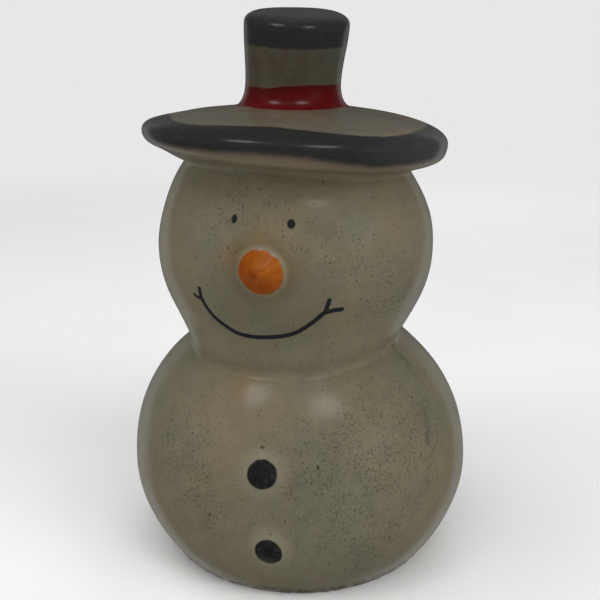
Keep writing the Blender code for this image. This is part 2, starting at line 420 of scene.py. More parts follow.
# %% [markdown]
# ## Paint fields
#
# The hat's black and red bands have edges drawn by hand with a brush, which rise and fall a little on the way round.
# On the grid such an edge is a length along the outline at each turn. Each point of the mesh stores how many
# millimetres of outline lie between it and the edge, and the material looks at the sign.

# %% Edges of the hat's bands
BAND_EDGES = {
    # edge: (turn in degrees, length along the outline in mm)
    "brim_under": (
        (-180, 139.3), (-120, 139), (-60, 139.4), (-30, 139.4), (-15, 139.5), (-4, 139.9), (12, 139.85),
        (21, 139.4), (32, 138.7), (41, 138.2), (52, 138.3), (65, 138.8), (100, 139.4), (140, 139.1),
    ),
    "brim_top": (
        (-180, 147.4), (-150, 147.9), (-120, 147.3), (-90, 148.3), (-59, 148.9), (-42, 147), (-30, 146.7),
        (-18, 147.3), (-5, 147.7), (7, 148), (19, 147), (30, 145.7), (38, 144.9), (46, 144.3), (57, 144.8),
        (76, 146.5), (110, 147.2), (150, 146.6),
    ),
    "cap": (
        (-180, 177.3), (-120, 177.1), (-64, 177), (-45, 177.1), (-25, 177.25), (10, 177.3), (45, 177.3),
        (70, 177.1), (95, 177.5), (140, 177.6),
    ),
    "ribbon_under": (
        (-180, 163), (-120, 163.4), (-72, 163.4), (-30, 163.3), (-14, 162.8), (2, 162.8), (18, 163),
        (35, 163.1), (52, 163.3), (72, 163.6), (101, 163.4), (140, 163.1),
    ),
    "ribbon_top": (
        (-180, 168.5), (-120, 168.2), (-73, 168.1), (-35, 168.6), (-20, 168.4), (-9, 168.7), (1, 169),
        (16, 169.15), (32, 169.3), (53, 169.15), (81, 168.9), (102, 168.9), (150, 168.6),
    ),
}
turn_deg = np.degrees(turn)
edges = {name: np.interp(turn_deg, *np.array(knots).T, period=360) for name, knots in BAND_EDGES.items()}


def store(name, values):
    """Keep up to three numbers for every point of the grid, and their mean over the end row at each pole."""
    wide = np.zeros((len(row_length), COLUMNS, 3))
    wide[..., : values.shape[-1]] = values
    every = np.vstack((wide.reshape(-1, 3), wide[0].mean(axis=0), wide[-1].mean(axis=0)))
    field = mesh.attributes.new(name, "FLOAT_VECTOR", "POINT")
    field.data.foreach_set("vector", every.astype(np.float32).ravel())
    print(name, "from", np.round(every.min(axis=0), 1), "to", np.round(every.max(axis=0), 1))


length = row_length[:, None]
brim_band = (length - edges["brim_under"], edges["brim_top"] - length, length - edges["cap"])
store("brim_band", np.stack(brim_band, axis=-1))
store("ribbon_band", np.stack((length - edges["ribbon_under"], edges["ribbon_top"] - length), axis=-1))

# %% [markdown]
# A pen line is stored in its own coordinates: how far across the line a point lies, with a sign, and how far along
# it. Both change evenly from one grid point to the next, so the line stays crisp even where the grid is coarse.

# %% Pen strokes of the smile
DEGREE_ON_HEAD = 0.53
STROKES = {
    # stroke: (turn in degrees, length along the outline in mm)
    "smile": (
        (-25.7, 105.5), (-25.7, 104.4), (-25.5, 103.4), (-24.2, 101.8), (-22.2, 100.2), (-19.2, 98.7),
        (-16.3, 97.7), (-12, 96.5), (-5.8, 95.9), (1, 95.9), (8.4, 96.4), (14.2, 97.4), (18, 98.8),
        (21.5, 100.4), (24.6, 101.9), (27.6, 102.25), (31.1, 102.35),
    ),
    "left_tick": ((-25.5, 103.4), (-27.2, 103.4), (-29.3, 103.9)),
    "right_tick": ((24.6, 101.9), (25.2, 103.2), (25.9, 104.6)),
}


def smooth_line(knots, step=0.5):
    """The cubic through the knots whose parameter is the length so far and whose tangents are the mean slopes."""
    knots = np.array(knots, dtype=float)
    reach = np.append(0.0, np.cumsum(np.hypot(np.diff(knots[:, 0]) * DEGREE_ON_HEAD, np.diff(knots[:, 1]))))
    slope = np.gradient(knots, reach, axis=0)
    t = np.linspace(0.0, reach[-1], int(reach[-1] / step) + 2)
    k = np.clip(np.searchsorted(reach, t, side="right") - 1, 0, len(knots) - 2)
    h = (reach[k + 1] - reach[k])[:, None]
    s = (t - reach[k])[:, None] / h
    from_knot = knots[k] * (2 * s**3 - 3 * s**2 + 1) + knots[k + 1] * (3 * s**2 - 2 * s**3)
    return from_knot + h * (slope[k] * (s**3 - 2 * s**2 + s) + slope[k + 1] * (s**3 - s**2))


def on_stone(turn_deg, length):
    """The point of the carved outline at this turn and length, in millimetres."""
    return turned(np.array([float(length)]), np.radians(float(turn_deg)))[0].reshape(3)


def stroke_field(points, normal, line):
    """(across, along, past the ends) from the nearest piece a, b of the line: across is (p - a) x (b - a) . n over
    the piece's length, along is measured from the line's start, and past the ends is 0 beside the line."""
    start, piece = line[:-1], np.diff(line, axis=0)
    size = np.linalg.norm(piece, axis=1)
    before = np.append(0.0, np.cumsum(size))
    offset = points[:, None, :] - start
    part = np.einsum("pks,ks->pk", offset, piece) / size**2
    gap = np.linalg.norm(offset - np.clip(part, 0.0, 1.0)[..., None] * piece, axis=-1)
    nearest = np.argmin(gap, axis=1)
    pick = np.arange(len(points))
    turn_side = np.cross(offset[pick, nearest], piece[nearest] / size[nearest, None])
    along = before[nearest] + part[pick, nearest] * size[nearest]
    past = np.maximum(-along, along - before[-1])
    return np.column_stack((np.einsum("ps,ps->p", turn_side, normal), along, np.maximum(past, 0.0)))


FACE_DEG = 50.0
FACE_FROM = 85.0
FACE_TO = 120.0
FAR_AWAY = 50.0
normals = grid_normals(grid)
face = (np.abs(turn_deg) < FACE_DEG) & (length > FACE_FROM) & (length < FACE_TO)
for name, knots in STROKES.items():
    line = np.array([on_stone(*knot) for knot in smooth_line(knots)])
    field = np.full(grid.shape, FAR_AWAY)
    field[face] = stroke_field(grid[face], normals[face], line)
    store(name, field)

# %% [markdown]
# ## Where the stone differs
#
# Dark specks lie in swarms, a little rust and green have soaked in, and grey veins run down the right side and the
# back. Each of these is soft, so it can live on the grid as well: a bell round a place, or the distance to a line.

# %% Swarms, stains and veins
SWARMS = (
    # (turn in degrees, length in mm, reach in mm, strength)
    (41, 62, 15, 1.1), (60, 70, 10, 0.8), (34, 46, 4.6, 2.6), (24, 47, 7, 0.5), (-29, 66, 8, 0.9),
    (-15, 53, 9, 0.6), (16, 64, 8, 0.5), (29, 71, 5, 0.6), (-6, 123, 5.5, 0.6), (-15, 116, 7, 0.35),
    (54.5, 104, 6, 1.5), (40, 99, 3, 0.2), (63.6, 90.5, 2, 0.9), (32, 112, 11, 0.3), (95, 60, 14, 0.5),
    (150, 70, 16, 0.5), (-120, 58, 15, 0.5), (-150, 108, 12, 0.6), (120, 104, 12, 0.4),
    (-90, 112, 9, 0.4), (-10, 171, 5, 0.3), (170, 46, 10, 0.6),
)
RUST_SPOTS = (
    (-9.2, 82.4, 2, 1), (-8.6, 79.6, 1.7, 0.7), (-8.8, 84.6, 1.5, 0.5), (-2.8, 80.4, 1.3, 0.3),
    (-9, 113.5, 2.6, 0.85), (-14, 112, 2.2, 0.5), (0.9, 117.2, 2.4, 0.7), (-9, 102.5, 2, 0.45),
    (15, 110.5, 2, 0.35), (75, 62.8, 3, 0.4), (38, 101.7, 0.7, 0.6), (140, 84, 3, 0.5), (-140, 50, 2.5, 0.5),
    (178, 110, 2.2, 0.4),
)
GREEN_SPOTS = (
    (65, 71.5, 1.9, 1.6), (62.5, 68, 2.2, 1.5), (34, 46, 3.5, 0.6), (13, 62, 8, 0.8), (17, 72, 4, 0.4),
    (50, 55, 6, 0.4), (-24, 66, 3.5, 0.5), (19, 119.8, 1.7, 1.1), (24, 118.6, 1.6, 0.8), (30, 122, 5, 0.4),
    (60, 105, 5, 0.5), (-60, 60, 8, 0.4), (110, 74, 9, 0.6), (-155, 70, 9, 0.6), (160, 116, 7, 0.5),
)
VEIN_KNOTS = ((73.5, 89), (73, 88), (72, 83.3), (70, 79.3), (67.8, 76), (65.6, 72.3), (62.8, 69), (60.5, 66))
BACK_VEIN_KNOTS = ((170, 88), (165, 80), (172, 72), (163, 62), (168, 52), (158, 44))
VEIN_STEP = 1.5


def bells(places):
    """The sum over the places of strength times exp(-(d / reach)^2), where d is the distance from the place."""
    total = np.zeros(grid.shape[:2])
    for turn_deg, length, reach, strength in places:
        gap = np.linalg.norm(grid - on_stone(turn_deg, length), axis=-1)
        total += strength * np.exp(-((gap / reach) ** 2))
    return total


def distance_to(knots):
    """The least of |p - q| over the points q of the smooth line through the knots."""
    line = np.array([on_stone(*knot) for knot in smooth_line(knots, VEIN_STEP)])
    return np.min([np.linalg.norm(grid - point, axis=-1) for point in line], axis=0)


store("stains", np.stack((bells(SWARMS), bells(RUST_SPOTS), bells(GREEN_SPOTS)), axis=-1))
store("vein", np.minimum(distance_to(VEIN_KNOTS), distance_to(BACK_VEIN_KNOTS))[..., None])

# %% [markdown]
# The map for baking follows the grid too: across is the share of the columns, up is the share of the rows. The
# front and the small shapes have more columns and rows, so they get more room on the map.

# %% Unwrap the grid
quad_count = (len(row_length) - 1) * COLUMNS
row_of, column_of = np.divmod(np.arange(quad_count), COLUMNS)
quad_map = np.stack((column_of[:, None] + (0, 1, 1, 0), row_of[:, None] + (1, 1, 2, 2)), axis=-1).reshape(-1, 2)
fan_column = np.arange(COLUMNS)[:, None]
rows_high = len(row_length)
low_map = np.stack((fan_column + (1, 0, 0.5), 0 * fan_column + (1, 1, 0)), axis=-1).reshape(-1, 2)
high_map = np.stack((fan_column + (0, 1, 0.5), 0 * fan_column + (0, 0, 1) + rows_high), axis=-1).reshape(-1, 2)
unwrapped = np.vstack((quad_map, low_map, high_map)) / (COLUMNS, rows_high + 1)
mesh.uv_layers.new(name="OFBake").data.foreach_set("uv", unwrapped.astype(np.float32).ravel())

# %% [markdown]
# ## Words for nodes
#
# A material is a graph of nodes. A few short words for the ones that come back again and again keep the recipe
# readable. Every pattern is measured in millimetres of the object itself, so it stays put when the figure turns.

# %% A recipe
SOFT = "SMOOTHSTEP"
SOFT_FROM = 0.55
BEHIND = 99.0


class Recipe:
    """A material's node graph, with a word for each kind of node that the recipe needs."""

    def __init__(self, name, world=None):
        """Start a material, or take the given world, and measure places on the object in millimetres."""
        self.material = world or bpy.data.materials.new(name)
        self.material.use_nodes = True
        self.nodes = self.material.node_tree.nodes
        self.links = self.material.node_tree.links
        self.surface = self.nodes["Background" if world else "Principled BSDF"]
        coordinates = self.nodes.new("ShaderNodeTexCoord")
        self.toward = coordinates.outputs["Generated"]
        place = coordinates.outputs["Object"]
        self.place = self.vector("MULTIPLY", place, (1 / MM, 1 / MM, 1 / MM))
        self.x, self.y, self.z = self.split(self.place)

    def feed(self, socket, value):
        """Link the socket to an output, or set it to a plain number, vector or colour without its last 1."""
        if isinstance(value, bpy.types.NodeSocket):
            self.links.new(value, socket)
        else:
            socket.default_value = (*value, 1.0) if socket.type == "RGBA" else value

    def node(self, kind, *values, output=0, **settings):
        """A new node with its settings made and its inputs fed in order, where None leaves one as it is."""
        made = self.nodes.new(kind)
        for name, setting in settings.items():
            setattr(made, name, setting)
        for socket, value in zip(made.inputs, values):
            if value is not None:
                self.feed(socket, value)
        return made.outputs[output]

    def finish(self, values):
        """Feed the shader's sockets, each given by its name."""
        for name, value in values.items():
            self.feed(self.surface.inputs[name], value)

    def split(self, vector):
        """The three numbers x, y, z of a vector."""
        made = self.nodes.new("ShaderNodeSeparateXYZ")
        self.links.new(vector, made.inputs[0])
        return tuple(made.outputs)

    def vector(self, operation, *values, output=0):
        """One sum on vectors, such as ADD, or LENGTH, which is a number."""
        return self.node("ShaderNodeVectorMath", *values, operation=operation, output=output)

    def number(self, operation, first, second=0.0, third=0.0):
        """One sum on numbers, such as ADD, first + second, or SQRT, the root of the first."""
        return self.node("ShaderNodeMath", first, second, third, operation=operation)

    def times(self, first, second):
        """first * second"""
        return self.number("MULTIPLY", first, second)

    def raised(self, value, mask, amount):
        """value + mask * amount"""
        return self.number("MULTIPLY_ADD", mask, amount, value)

    def most(self, first, second):
        """The larger of the two."""
        return self.number("MAXIMUM", first, second)

    def dot(self, first, second):
        """x1 x2 + y1 y2 + z1 z2"""
        return self.vector("DOT_PRODUCT", first, second, output="Value")

    def blend(self, factor, first, second):
        """(1 - factor) * first + factor * second, for numbers."""
        return self.node("ShaderNodeMix", factor, None, first, second)

    def mix(self, factor, first, second, kind="MIX"):
        """The same for colours, or (1 - factor + factor * second) * first for the kind MULTIPLY."""
        skip = [None] * 5
        return self.node("ShaderNodeMix", factor, *skip, first, second, data_type="RGBA", blend_type=kind, output=2)

    def cover(self, tint, mask, strength=1.0):
        """Lay the tint over the colour so far, where the mask is 1, at this strength."""
        factor = mask if strength == 1.0 else self.times(mask, strength)
        self.colour = self.mix(factor, self.colour, tint)

    def stain(self, tint, mask):
        """Multiply the colour so far by the tint, where the mask is 1."""
        self.colour = self.mix(mask, self.colour, tint, "MULTIPLY")

    def step(self, value, low, high, at_low=0.0, at_high=1.0):
        """at_low up to low, at_high from high on, and 3 t^2 - 2 t^3 in between."""
        return self.node("ShaderNodeMapRange", value, low, high, at_low, at_high, interpolation_type=SOFT)

    def fall(self, value, low, high, at_low=1.0):
        """The same step, down to 0."""
        return self.step(value, low, high, at_low, 0.0)

    def cloud(self, size, detail=2.0, shift=0.0, stretch=(1.0, 1.0, 1.0), roughness=0.5):
        """Noise round 0.5 with lumps of about this many millimetres."""
        scale = tuple(axis / size for axis in stretch)
        place = self.vector("MULTIPLY_ADD", self.place, scale, (shift, shift, shift))
        made = self.nodes.new("ShaderNodeTexNoise")
        self.feed(made.inputs["Vector"], place)
        for name, value in (("Scale", 1.0), ("Detail", detail), ("Roughness", roughness)):
            made.inputs[name].default_value = value
        return made.outputs[0]

    def patches(self, size, detail, shift, low, high, at_low=0.0, at_high=1.0, **settings):
        """A soft step of a cloud: patches with bare places between them."""
        return self.step(self.cloud(size, detail, shift, **settings), low, high, at_low, at_high)

    def dots(self, size, reach, share, shift=0.0):
        """Round dots of this reach about the points of a random lattice, in a share of its cells."""
        place = self.vector("ADD", self.place, (shift, shift, shift))
        made = self.nodes.new("ShaderNodeTexVoronoi")
        self.feed(made.inputs["Vector"], place)
        made.inputs["Scale"].default_value = 1.0 / size
        chance = self.node("ShaderNodeSeparateColor", made.outputs["Color"])
        present = self.number("LESS_THAN", chance, share)
        near = self.fall(made.outputs["Distance"], reach / size * SOFT_FROM, reach / size)
        return self.times(near, present)

    def stored(self, name):
        """The three numbers that the mesh keeps under this name."""
        made = self.nodes.new("ShaderNodeAttribute")
        made.attribute_name = name
        return self.split(made.outputs["Vector"])

    def spot(self, place, right, up, half_width, half_height):
        """Distance from an oval's middle, 1 on its edge, and far away on the back of the figure."""
        offset = self.vector("SUBTRACT", self.place, tuple(place))
        squares = []
        for axis, half in ((right, half_width), (up, half_height)):
            across = self.dot(offset, tuple(np.array(axis) / half))
            squares.append(self.times(across, across))
        behind = self.number("GREATER_THAN", self.y, 0.0)
        return self.raised(self.number("SQRT", self.number("ADD", *squares)), behind, BEHIND)


# %% [markdown]
# ## The stone
#
# Soapstone is a soft, warm grey that drifts towards green, straw and a little pink. Fine dark specks lie in swarms,
# mostly on one side, and here and there a thin grey vein runs through.

# %% Stone colours
stone = Recipe("waxed soapstone")
STRAW = (0.163, 0.135, 0.081)
SAGE = (0.138, 0.13, 0.085)
ROSE = (0.152, 0.121, 0.083)
CLOUD_SHADE = (0.93, 1.06)
GRAIN_SHADE = (0.93, 1.07)
stone.colour = stone.mix(stone.patches(26, 3, 3, 0.35, 0.65, 0.12, 0.88, roughness=0.55), STRAW, SAGE)
stone.cover(ROSE, stone.patches(9, 3, 17, 0.42, 0.75, 0.0, 0.55, roughness=0.6))
shade = stone.patches(4, 4, 31, 0.25, 0.75, *CLOUD_SHADE, roughness=0.65)
fine_grain = stone.cloud(0.45, 2, 5, roughness=0.7)
shade = stone.times(shade, stone.step(fine_grain, 0.2, 0.8, *GRAIN_SHADE))
stone.stain(stone.node("ShaderNodeCombineColor", shade, shade, shade), 1.0)
print("stone:", len(stone.nodes), "nodes")

# %% [markdown]
# A speck is a dot round a point of a random lattice. The swarm field decides in how many cells there is one, so the
# swarms thin out at their edges. Between the specks a full swarm is murky, as if more lay just under the surface.

# %% Specks
SPECK = (0.028, 0.025, 0.017)
MURK = (0.07, 0.066, 0.052)
SPECKS_EVERYWHERE = 0.09
SPECKS = (
    # (cell size in mm, radius in mm, part of the cells in a full swarm, how dark, shift of the lattice)
    (0.6, 0.19, 0.8, 0.5, 0), (0.9, 0.26, 0.7, 0.56, 7.3), (0.75, 0.2, 0.7, 0.42, 19.9),
    (1.7, 0.28, 0.45, 0.66, 3.1), (3.6, 0.35, 0.3, 0.74, 11.7),
)
swarm, rust, green = stone.stored("stains")
vein_distance, _, _ = stone.stored("vein")
patchy = stone.patches(3.5, 3, 41, 0.35, 0.65, 0.2, 1.5, roughness=0.6)
share = stone.times(stone.number("ADD", swarm, SPECKS_EVERYWHERE), patchy)
specks = 0.0
for cell, radius, part, darkness, shift in SPECKS:
    dots = stone.dots(cell, radius, stone.times(share, part), shift)
    specks = stone.most(stone.times(dots, darkness), specks)
in_swarm = stone.step(share, 0.1, 0.9)
murk = stone.times(in_swarm, stone.patches(0.9, 4, 61, 0.46, 0.68, roughness=0.75))
stone.cover(MURK, murk, strength=0.45)

# %% Stains and the vein
STAINS = (
    # (field, size of its patches in mm, shift, the faintest part, strength, colour)
    (green, 2.2, 51, 0.35, 0.45, (0.083, 0.088, 0.068)),
    (rust, 1.6, 57, 0.5, 0.5, (0.201, 0.114, 0.036)),
)
for field, size, shift, faintest, strength, tint in STAINS:
    stone.cover(tint, stone.times(field, stone.patches(size, 3, shift, 0.3, 0.7, faintest)), strength)
VEIN = (0.052, 0.05, 0.042)
VEIN_WANDER = 5.0
VEIN_HALF_WIDTH = (0.1, 1.0)
broken = stone.patches(1.2, 4, 63, 0.40, 0.60, roughness=0.7)
wander = stone.times(stone.number("SUBTRACT", stone.cloud(5, 3, 71), 0.5), VEIN_WANDER)
from_vein = stone.number("ABSOLUTE", stone.number("ADD", vein_distance, wander))
vein_mask = stone.times(stone.fall(from_vein, *VEIN_HALF_WIDTH), broken)
stone.cover(VEIN, vein_mask, strength=0.75)
stone.cover(SPECK, specks)

# %% Four larger pits
PITS = (
    # (turn in degrees, length in mm, half width and half height in mm)
    (2, 70, 0.5, 0.28), (4.7, 52.6, 0.3, 0.26), (-14.8, 54.2, 0.42, 0.28), (19.2, 66.2, 0.3, 0.46),
)
PIT_DARK = (0.022, 0.018, 0.012)
UP = (0.0, 0.0, 1.0)


def sideways(turn_deg):
    """The level direction (cos t, sin t, 0) along the surface."""
    return math.cos(math.radians(turn_deg)), math.sin(math.radians(turn_deg)), 0.0


def mark(turn_deg, length, half_width, half_height):
    """A small upright oval at this place: 1 on its edge, less inside."""
    return stone.spot(on_stone(turn_deg, length), sideways(turn_deg), UP, half_width, half_height)


pit_mask = 0.0
for pit in PITS:
    pit_mask = stone.most(stone.fall(mark(*pit), 0.5, 1.15, 0.85), pit_mask)
stone.cover(PIT_DARK, pit_mask)

# %% [markdown]
# Round the nose and the buttons the paint was wiped off, which left the stone clean and pale, and these pale rings
# are also a painted highlight where the swellings catch the light, paler above the nose. Round the nose a thin film
# of orange stayed as a blush, and the face below it and the chin are painted darker as painted shade. At the foot
# the saw marks hold dirt.

# %% Where the nose and the buttons are painted
BUTTON_PAINT = (
    # (turn in degrees, height, half width and half height in mm)
    (2.3, 31.4, 3.1, 2.95), (4, 14.9, 2.72, 3.45),
)
NOSE_PAINT_SHIFT = (-0.2, 0.0, -0.25)
NOSE_PAINT_HALVES = (4.55, 4.35)
NOSE_WOBBLE = 0.16
BUTTON_WOBBLE = 0.22
wobble = stone.number("SUBTRACT", stone.cloud(2.4, 2, 83), 0.5)
nose_spot = stone.spot(nose_axis[0] + NOSE_PAINT_SHIFT, (0.8, 0.0, -0.6), (0.6, 0.0, 0.8), *NOSE_PAINT_HALVES)
nose_spot = stone.raised(nose_spot, wobble, NOSE_WOBBLE)
button_spots = []
for (turn_at, height, half_width, half_height), (_, outward) in zip(BUTTON_PAINT, button_axes):
    side = np.array(sideways(turn_at))
    spot = stone.spot(axis_at(turn_at, height, 0.0)[0], side, np.cross(side, outward), half_width, half_height)
    button_spots.append(stone.raised(spot, wobble, BUTTON_WOBBLE))
button_spot = stone.number("MINIMUM", *button_spots)

# %% Wiped rings with a painted highlight, painted shade under the nose, the blush and the dirty foot
PALE_WIPED_AND_LIT = (0.213, 0.196, 0.138)
PAINTED_CHIN_SHADE = (0.84, 0.84, 0.84)
BLUSH = (0.86, 0.765, 0.59)
DIRT = (0.058, 0.04, 0.022)
from_nose = stone.vector("SUBTRACT", stone.place, tuple(nose_axis[0]))
nose_side = stone.dot(from_nose, (0.6, 0.0, 0.8))
# The pale ring round the nose is wiped stone and a painted highlight, paler on the nose's upper side.
near_nose = stone.fall(nose_spot, 1.02, 1.32)
nose_ring_and_highlight = stone.times(near_nose, stone.step(nose_side, -4.0, 4.5, 0.25, 0.62))
# Painted shade: the face below the nose and the chin are darkened.
chin_shade_spot = stone.spot(on_stone(4.0, 102.0), (1.0, 0.0, 0.0), UP, 17.0, 12.0)
stone.stain(PAINTED_CHIN_SHADE, stone.fall(chin_shade_spot, 0.3, 1.2, 0.75))
stone.stain(BLUSH, stone.fall(nose_spot, 1.0, 2.0, 0.85))
# The pale rings round the nose and the buttons: part wiped stone, part painted highlight.
stone.cover(PALE_WIPED_AND_LIT, stone.most(nose_ring_and_highlight, stone.fall(button_spot, 1.0, 2.1, 0.52)))
dirt = stone.fall(stone.z, 0.8, 3.6)
dirt = stone.times(dirt, stone.patches(1.3, 3, 91, 0.38, 0.58))
stone.cover(DIRT, dirt, strength=0.88)

# %% [markdown]
# ## Paint, ink and wax
#
# The black on the hat turns greyer towards the sides of the brim and on top of the cap, as a painted reflection of
# the pale room, and under its lower edge a brown hem shows. On the buttons the brush left grey scuffs. The red left
# a faint smear on the brim below it. The orange is brighter where it lies thick and painted lighter on its upper
# side as painted light, and a darker spot low on its left is painted shade. The smile and the eyes are pen work, a
# little uneven in width.

# %% Masks for the paint
EDGE_ROUGHNESS = 0.7
brim_from_under, brim_to_top, over_cap = stone.stored("brim_band")
over_ribbon, under_ribbon_top, _ = stone.stored("ribbon_band")
edge_noise = stone.number("SUBTRACT", stone.cloud(1.8, 3, 97, roughness=0.6), 0.5)
fine_edge = stone.times(edge_noise, EDGE_ROUGHNESS)


def inside(distance, soft):
    """1 where the stored distance plus a little noise is above zero, with an edge of this many millimetres."""
    return stone.step(stone.number("ADD", distance, fine_edge), -soft, soft)


brim_black = stone.times(inside(brim_from_under, 0.8), inside(brim_to_top, 0.35))
cap_black = inside(over_cap, 0.35)
button_black = stone.fall(button_spot, 0.95, 1.05)
ribbon_red = stone.times(inside(over_ribbon, 0.25), inside(under_ribbon_top, 0.2))
nose_orange = stone.fall(nose_spot, 0.96, 1.05)

# %% Masks for the ink
PEN_EDGE = 0.16
PEN_HALF_WIDTHS = {"smile": 0.50, "left_tick": 0.38, "right_tick": 0.48}
EYES = (
    # (turn in degrees, length, half width and half height in mm)
    (-11.3, 120.1, 0.6, 0.86), (11.2, 120.05, 0.8, 0.88),
)


def stroke(name, half_width):
    """1 within the half width of the line, where the gap to it is sqrt(across^2 + past^2) plus a little noise."""
    across, _, past = stone.stored(name)
    squares = stone.number("ADD", stone.number("POWER", across, 2.0), stone.number("POWER", past, 2.0))
    gap = stone.number("SQRT", squares)
    uneven = stone.raised(gap, stone.cloud(1.2, 2, 103), PEN_EDGE)
    return stone.fall(uneven, half_width, half_width + PEN_EDGE)


ink = 0.0
for name, half_width in PEN_HALF_WIDTHS.items():
    ink = stone.most(stroke(name, half_width), ink)
for eye in EYES:
    ink = stone.most(stone.fall(stone.raised(mark(*eye), edge_noise, 0.3), 0.85, 1.12), ink)

# %% Black and red
BUTTON_BLACKS = ((0.006, 0.006, 0.0056), (0.013, 0.013, 0.012))
BUTTON_SCUFF = (0.056, 0.056, 0.063)
HAT_BLACKS = ((0.015, 0.0155, 0.0155), (0.024, 0.0245, 0.0235))
HAT_SHEEN_GREY = (0.04, 0.041, 0.041)
REDS = ((0.068, 0.001, 0.0008), (0.088, 0.0022, 0.0018))
brush = stone.cloud(1.0, 4.0, 109.0, stretch=(0.6, 0.6, 2.2), roughness=0.7)
worn = stone.patches(5, 4, 113, 0.50, 0.80, 0.0, 0.35, roughness=0.65)
button_colour = stone.mix(stone.step(brush, 0.3, 0.8), *BUTTON_BLACKS)
scratch = stone.patches(0.9, 4, 127, 0.50, 0.72, stretch=(1.6, 1.6, 0.6), roughness=0.7)
button_colour = stone.mix(stone.times(scratch, 0.75), button_colour, BUTTON_SCUFF)
off_centre = stone.number("ABSOLUTE", stone.x)
# Painted reflection: the black turns grey towards the sides of the brim and on top of the cap, in patches.
painted_sheen = stone.most(stone.step(off_centre, 14.0, 30.0, 0.0, 0.7), stone.step(over_cap, 4.5, 7.5))
painted_sheen = stone.times(painted_sheen, stone.patches(2, 4, 119, 0.25, 0.7, 0.7, 1.0, roughness=0.7))
hat_black = stone.mix(stone.step(brush, 0.3, 0.8), *HAT_BLACKS)
hat_black = stone.mix(painted_sheen, hat_black, HAT_SHEEN_GREY)
red = stone.mix(stone.step(brush, 0.3, 0.75), *REDS)

# %% Orange
ORANGES = ((0.205, 0.038, 0.0006), (0.305, 0.08, 0.001))
NOSE_SHADE_ORANGE = (0.11, 0.024, 0.0006)
NOSE_SHADE_SHIFT = (-0.9, 0.0, -0.2)
thick_and_lit = stone.patches(1.7, 3, 131, 0.35, 0.7, roughness=0.6)
# Besides where it lies thick, the orange is painted lighter on the nose's upper side, as painted light.
thick_and_lit = stone.raised(stone.step(nose_side, -3.5, 4.0, 0.0, 0.55), thick_and_lit, 0.45)
orange = stone.mix(thick_and_lit, *ORANGES)
# Painted shade: a darker orange spot low on the nose's left, under its tip.
nose_shade_spot = stone.spot(nose_axis[0] + NOSE_SHADE_SHIFT, (1.0, 0.0, 0.0), UP, 1.5, 1.2)
nose_shade = stone.fall(stone.raised(nose_shade_spot, wobble, 0.8), 0.2, 1.1, 0.6)
orange = stone.mix(nose_shade, orange, NOSE_SHADE_ORANGE)

# %% The bare stone of the hat
SMEAR = (0.12, 0.05, 0.04)
HEM = (0.092, 0.058, 0.046)
BRIM_DARKENING = ((0.83, 0.88, 1.0), (0.72, 0.75, 0.84))
CROWN_DARKENING = ((0.58, 0.54, 0.51), (0.54, 0.56, 0.5))
smear = stone.step(over_ribbon, -4.5, 0.0)
smear = stone.times(smear, stone.patches(3, 3, 137, 0.4, 0.7, 0.0, 0.30))
on_brim = stone.step(stone.z, 95.5, 96.5)
stone.cover(SMEAR, stone.times(smear, on_brim))
hem = stone.times(stone.step(brim_from_under, -2.2, 0.0), stone.fall(brim_from_under, 0.2, 1.2))
stone.cover(HEM, hem, strength=0.62)
on_crown = stone.step(over_ribbon, 2.0, 3.0)
# The bare stone of the brim is made darker, less so on the left, and that of the crown about half as bright, browner
# to the upper left and greener to the lower right.
stone.stain(stone.mix(stone.step(stone.x, -30.0, -8.0), *BRIM_DARKENING), on_brim)
slanting = stone.raised(stone.number("ADD", stone.x, 54.5), stone.z, -0.5)
stone.stain(stone.mix(stone.step(slanting, -9.0, 9.0), *CROWN_DARKENING), on_crown)

# %% Paint over stone
INK = (0.008, 0.009, 0.014)
RED_SHADOW = (0.035, 0.0008, 0.0008)
WORN_THROUGH = 0.15
solid_black = stone.most(brim_black, cap_black)
rubbed_off = stone.times(solid_black, stone.times(worn, WORN_THROUGH))
stone.cover(hat_black, stone.number("SUBTRACT", solid_black, rubbed_off))
stone.cover(button_colour, button_black)
stone.cover(stone.mix(stone.fall(under_ribbon_top, 0.0, 2.2, 0.5), red, RED_SHADOW), ribbon_red)
stone.cover(orange, nose_orange)
stone.cover(INK, ink, strength=0.97)
stone.finish({"Base Color": stone.colour})
print("with paint:", len(stone.nodes), "nodes")

# %% [markdown]
# The wax gives everything one soft gloss, apart from the nose, where it is thin. Specks and dirt are rougher than
# clean stone, and paint is a little smoother. The relief is tiny: grain, dents, pits and the thickness of the paint.

# %% Gloss
WAX = 0.6
NOSE_LACKS = 0.42
painted = stone.most(solid_black, stone.most(ribbon_red, button_black))
rough = stone.patches(6, 4, 139, 0.3, 0.7, 0.36, 0.44, roughness=0.6)
for mask, change in ((specks, 0.12), (painted, -0.10), (dirt, 0.25)):
    rough = stone.raised(rough, mask, change)
wax = stone.raised(WAX, nose_orange, -NOSE_LACKS)
stone.finish({"Roughness": rough, "Specular IOR Level": 0.2, "Metallic": 0.0})
stone.finish({"Coat Weight": wax, "Coat Roughness": 0.20})

# %% Relief
RELIEF = (
    # (mask, height in mm)
    (stone.cloud(2.6, 3, 149), 0.03), (specks, -0.015), (pit_mask, -0.2), (painted, 0.03), (nose_orange, 0.05),
    (stone.times(nose_orange, brush), 0.02), (ink, 0.015),
)
relief = stone.times(fine_grain, 0.010)
for mask, height in RELIEF:
    relief = stone.raised(relief, mask, height)
bump = stone.nodes.new("ShaderNodeBump")
bump.inputs["Distance"].default_value = MM
stone.feed(bump.inputs["Height"], relief)
stone.finish({"Normal": bump.outputs[0]})
mesh.materials.append(stone.material)
print("finished stone:", len(stone.nodes), "nodes")

# %% [markdown]
# ## The studio
#
# The figure stands on a plain pale floor, which fades out into the tone of the room, so that no line shows where it
# ends. It is hidden from reflections, because the wax should mirror the room and not a disc.

